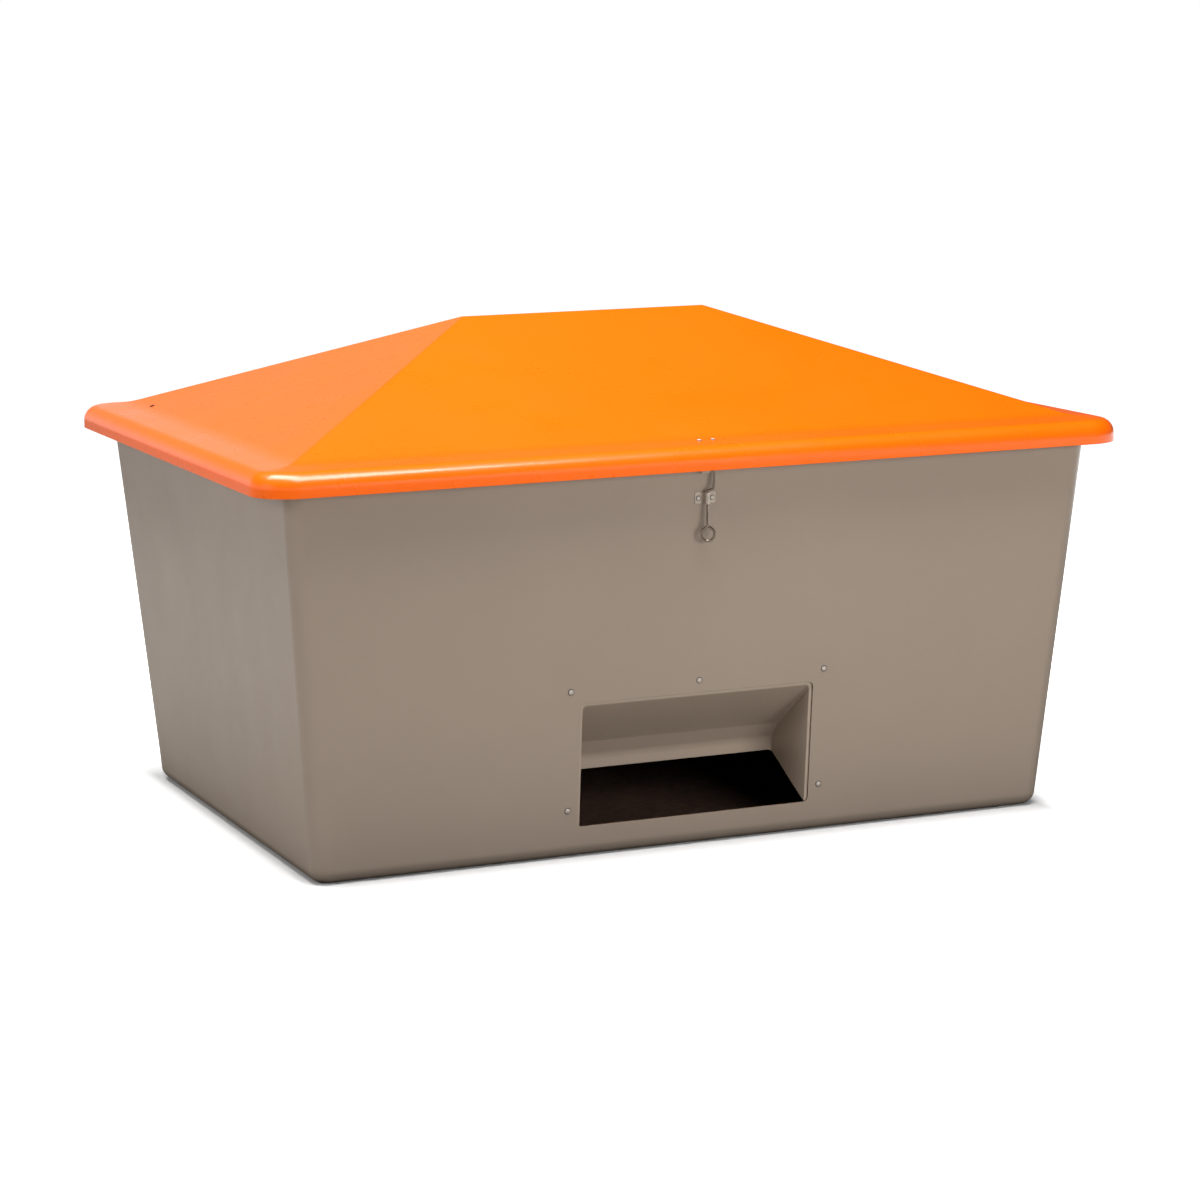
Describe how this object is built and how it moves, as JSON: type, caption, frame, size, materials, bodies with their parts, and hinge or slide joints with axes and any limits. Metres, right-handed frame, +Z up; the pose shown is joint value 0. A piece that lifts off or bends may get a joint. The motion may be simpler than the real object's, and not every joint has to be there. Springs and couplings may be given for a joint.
{
  "type": "grit salt bin",
  "caption": "Free-standing tapered tub for grit or road salt with a hooded dispensing mouth low in the front, a hinged hip-roof lid on gas struts and a turning wire latch.",
  "frame": {"origin": "centre of the tub's base, on the ground", "axes": "+X along the front to the right as seen from the front, +Y from front to back, +Z up; the dispensing front faces -Y"},
  "size_m": [2.13, 1.534, 1.1873],
  "materials": {
    "tub_glassfibre": "satin stone grey gelcoat, smooth outside, faint mould waviness",
    "hood_glassfibre": "satin stone grey gelcoat",
    "lid_glassfibre": "glossy orange gelcoat",
    "seal_rubber": "matt black sponge rubber",
    "wire_stainless": "drawn stainless wire",
    "plate_stainless": "brushed stainless sheet",
    "pin_stainless": "turned stainless",
    "rivet_aluminium": "dull set rivets",
    "bolt_dark": "blackened fasteners",
    "strut_black": "black lacquered tube",
    "rod_chrome": "polished piston rod",
    "piston_plastic": "moulded"
  },
  "bodies": {
    "tub": {"tub_shell": "tub_glassfibre", "chute_hood": "hood_glassfibre", "chute_rivets": "rivet_aluminium", "rim_seal": "seal_rubber", "latch_saddle": "plate_stainless", "saddle_rivets": "rivet_aluminium", "hinge_tub_rivets": "rivet_aluminium", "strut_tub_bolts": "bolt_dark", "hinge_tub_leaf_left": "plate_stainless", "hinge_tub_leaf_centre": "plate_stainless", "hinge_tub_leaf_right": "plate_stainless", "hinge_pin_left": "pin_stainless", "hinge_pin_centre": "pin_stainless", "hinge_pin_right": "pin_stainless", "strut_tub_bracket_left": "plate_stainless", "strut_tub_stud_left": "pin_stainless", "strut_tub_bracket_right": "plate_stainless", "strut_tub_stud_right": "pin_stainless"},
    "lid": {"lid_shell": "lid_glassfibre", "latch_keeper": "plate_stainless", "keeper_rivets": "rivet_aluminium", "hinge_lid_rivets": "rivet_aluminium", "strut_lid_bolts": "bolt_dark", "hinge_lid_leaf_left": "plate_stainless", "hinge_lid_leaf_centre": "plate_stainless", "hinge_lid_leaf_right": "plate_stainless", "strut_lid_bracket_left": "plate_stainless", "strut_lid_stud_left": "pin_stainless", "strut_lid_bracket_right": "plate_stainless", "strut_lid_stud_right": "pin_stainless"},
    "latch": {"latch_hook": "wire_stainless"},
    "strut_cylinder_body_left": {"strut_lower_eye_left": "strut_black", "strut_cylinder_left": "strut_black", "strut_gland_left": "strut_black"},
    "strut_rod_body_left": {"strut_upper_eye_left": "strut_black", "strut_rod_left": "rod_chrome", "strut_piston_left": "piston_plastic"},
    "strut_cylinder_body_right": {"strut_lower_eye_right": "strut_black", "strut_cylinder_right": "strut_black", "strut_gland_right": "strut_black"},
    "strut_rod_body_right": {"strut_upper_eye_right": "strut_black", "strut_rod_right": "rod_chrome", "strut_piston_right": "piston_plastic"}
  },
  "joints": [
    {"name": "lid_open", "type": "hinge", "parent": "tub", "child": "lid", "pos_m": [0, 0.767, 0.882], "axis": [-1, 0, 0], "range_deg": [0, 65]},
    {"name": "latch_turn", "type": "hinge", "parent": "tub", "child": "latch", "pos_m": [-0.004, -0.71029, 0.821], "axis": [0, 0, -1], "range_deg": [-20, 70]},
    {"name": "strut_foot_left", "type": "hinge", "parent": "tub", "child": "strut_cylinder_body_left", "pos_m": [-0.915, 0.64756, 0.62768], "axis": [-1, 0, 0], "range_deg": [0, 32.5]},
    {"name": "strut_head_left", "type": "hinge", "parent": "lid", "child": "strut_rod_body_left", "pos_m": [-0.915, 0.487, 0.9053], "axis": [-1, 0, 0], "range_deg": [-32.5, 0]},
    {"name": "strut_foot_right", "type": "hinge", "parent": "tub", "child": "strut_cylinder_body_right", "pos_m": [0.915, 0.64756, 0.62768], "axis": [-1, 0, 0], "range_deg": [0, 32.5]},
    {"name": "strut_head_right", "type": "hinge", "parent": "lid", "child": "strut_rod_body_right", "pos_m": [0.915, 0.487, 0.9053], "axis": [-1, 0, 0], "range_deg": [-32.5, 0]}
  ],
  "couplings": [
    {"joint": "strut_foot_left", "follows": "lid_open", "ratio": 0.5},
    {"joint": "strut_head_left", "follows": "lid_open", "ratio": -0.5},
    {"joint": "strut_foot_right", "follows": "lid_open", "ratio": 0.5},
    {"joint": "strut_head_right", "follows": "lid_open", "ratio": -0.5}
  ]
}
